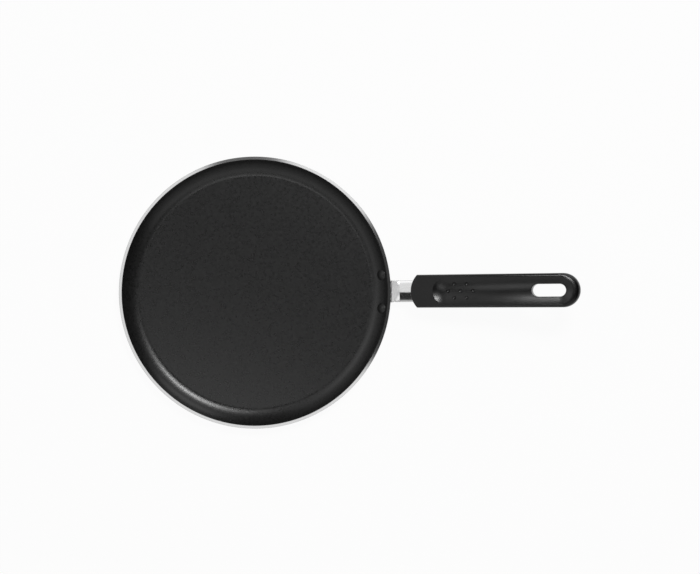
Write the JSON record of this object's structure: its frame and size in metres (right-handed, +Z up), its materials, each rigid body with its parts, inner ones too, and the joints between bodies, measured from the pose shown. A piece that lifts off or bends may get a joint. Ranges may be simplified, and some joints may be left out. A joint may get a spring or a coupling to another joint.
{
  "type": "crepe pan",
  "caption": "Shallow crepe pan with a low flared wall, dark non-stick inside, riveted steel bracket and a long dark moulded handle with thumb dish and hanging slot.",
  "frame": {"origin": "centre of the pan's flat base, on the surface it stands on", "axes": "+X towards the handle, +Z up along the pan's axis, +Y completes the right-handed frame"},
  "size_m": [0.4194, 0.25, 0.0606],
  "materials": {
    "pan_metal": "polished",
    "coating": "satin",
    "rivet": "satin",
    "bright_steel": "polished",
    "handle_moulding": "satin",
    "fastener": "satin"
  },
  "bodies": {
    "root": {"pan_body": "pan_metal", "nonstick_coating": "coating", "rivet_left": "rivet", "rivet_right": "rivet", "handle_bracket": "bright_steel", "handle": "handle_moulding", "tang_nut": "fastener", "spring_washer": "fastener", "handle_screw": "fastener"}
  },
  "joints": []
}
